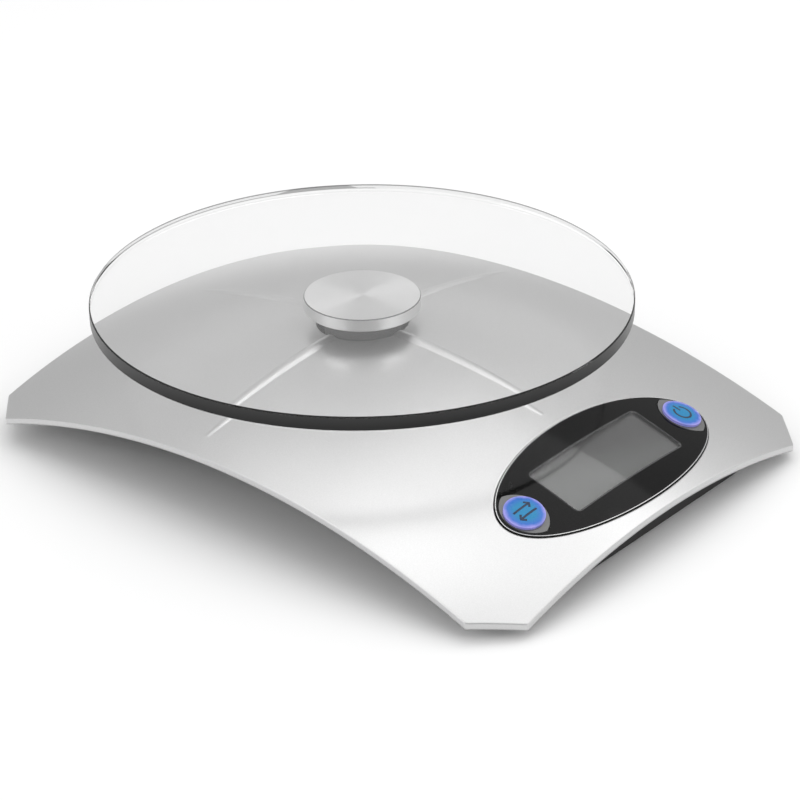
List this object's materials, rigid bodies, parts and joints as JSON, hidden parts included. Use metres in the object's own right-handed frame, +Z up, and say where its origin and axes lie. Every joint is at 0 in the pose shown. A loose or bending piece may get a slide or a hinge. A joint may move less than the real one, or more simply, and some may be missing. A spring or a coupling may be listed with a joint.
{
  "type": "kitchen scale",
  "caption": "Kitchen scale with a round glass weighing platter on a domed case, an oval display panel with soft keys, and a load cell inside.",
  "frame": {"origin": "on the table under the middle of the scale's footprint", "axes": "+Z up, +X to the user's right, +Y from the display at the front to the back"},
  "size_m": [0.18, 0.225, 0.05],
  "materials": {
    "shell": "satin silver coating",
    "black_plastic": "fine matt texture",
    "rubber": "matt",
    "steel": "zinc plated",
    "panel": "polished black",
    "window": "clear, slightly smoked",
    "lcd": "grey, blank",
    "elastomer": "satin",
    "board": "green solder mask",
    "led": "translucent",
    "key": "translucent grey",
    "key_lens": "translucent blue with a lilac edge",
    "plunger": "moulded",
    "aluminium": "machined",
    "sealant": "white silicone",
    "wire": "PVC sleeve",
    "grey_plastic": "moulded",
    "spun_metal": "spun, fine circular lines",
    "glass": "clear float glass with a dark ground edge",
    "cell_jacket": "plain foil jacket"
  },
  "bodies": {
    "root": {"top_shell": "shell", "base_tray": "black_plastic", "rubber_feet": "rubber", "case_screws": "steel", "display_panel": "panel", "display_window": "window", "lcd_cell": "lcd", "lcd_holder": "black_plastic", "zebra_strips": "elastomer", "main_board": "board", "controller_chip": "black_plastic", "key_switches": "black_plastic", "button_leds": "led", "board_screws": "steel", "load_cell_base": "aluminium", "gauge_sealant": "sealant", "cell_spacer": "steel", "cell_screws": "steel", "cell_wires": "wire", "battery_cells": "cell_jacket", "battery_contacts": "steel", "battery_wires": "wire"},
    "platter": {"load_cell_tip": "aluminium", "tip_spacer": "steel", "load_plate": "steel", "tip_screws": "steel", "platter_post": "grey_plastic", "post_screws": "steel", "hub_screw": "steel", "platter_disc": "spun_metal", "glass_platter": "glass"},
    "unit_button": {"unit_key": "key", "unit_key_lens": "key_lens", "unit_plunger": "plunger"},
    "tare_button": {"tare_key": "key", "tare_key_lens": "key_lens", "tare_plunger": "plunger"},
    "battery_cover": {"battery_door": "black_plastic"}
  },
  "joints": [
    {"name": "platter_press", "type": "slide", "parent": "root", "child": "platter", "axis": [0, 0, -1], "range_m": [0, 0.0005], "stiffness_N_per_m": 100000},
    {"name": "unit_press", "type": "slide", "parent": "root", "child": "unit_button", "axis": [0, 0.2893, -0.9572], "range_m": [0, 0.0005], "stiffness_N_per_m": 3000},
    {"name": "tare_press", "type": "slide", "parent": "root", "child": "tare_button", "axis": [0, 0.2893, -0.9572], "range_m": [0, 0.0005], "stiffness_N_per_m": 3000},
    {"name": "battery_cover_slide", "type": "slide", "parent": "root", "child": "battery_cover", "axis": [0, 1, 0], "range_m": [0, 0.03]}
  ]
}
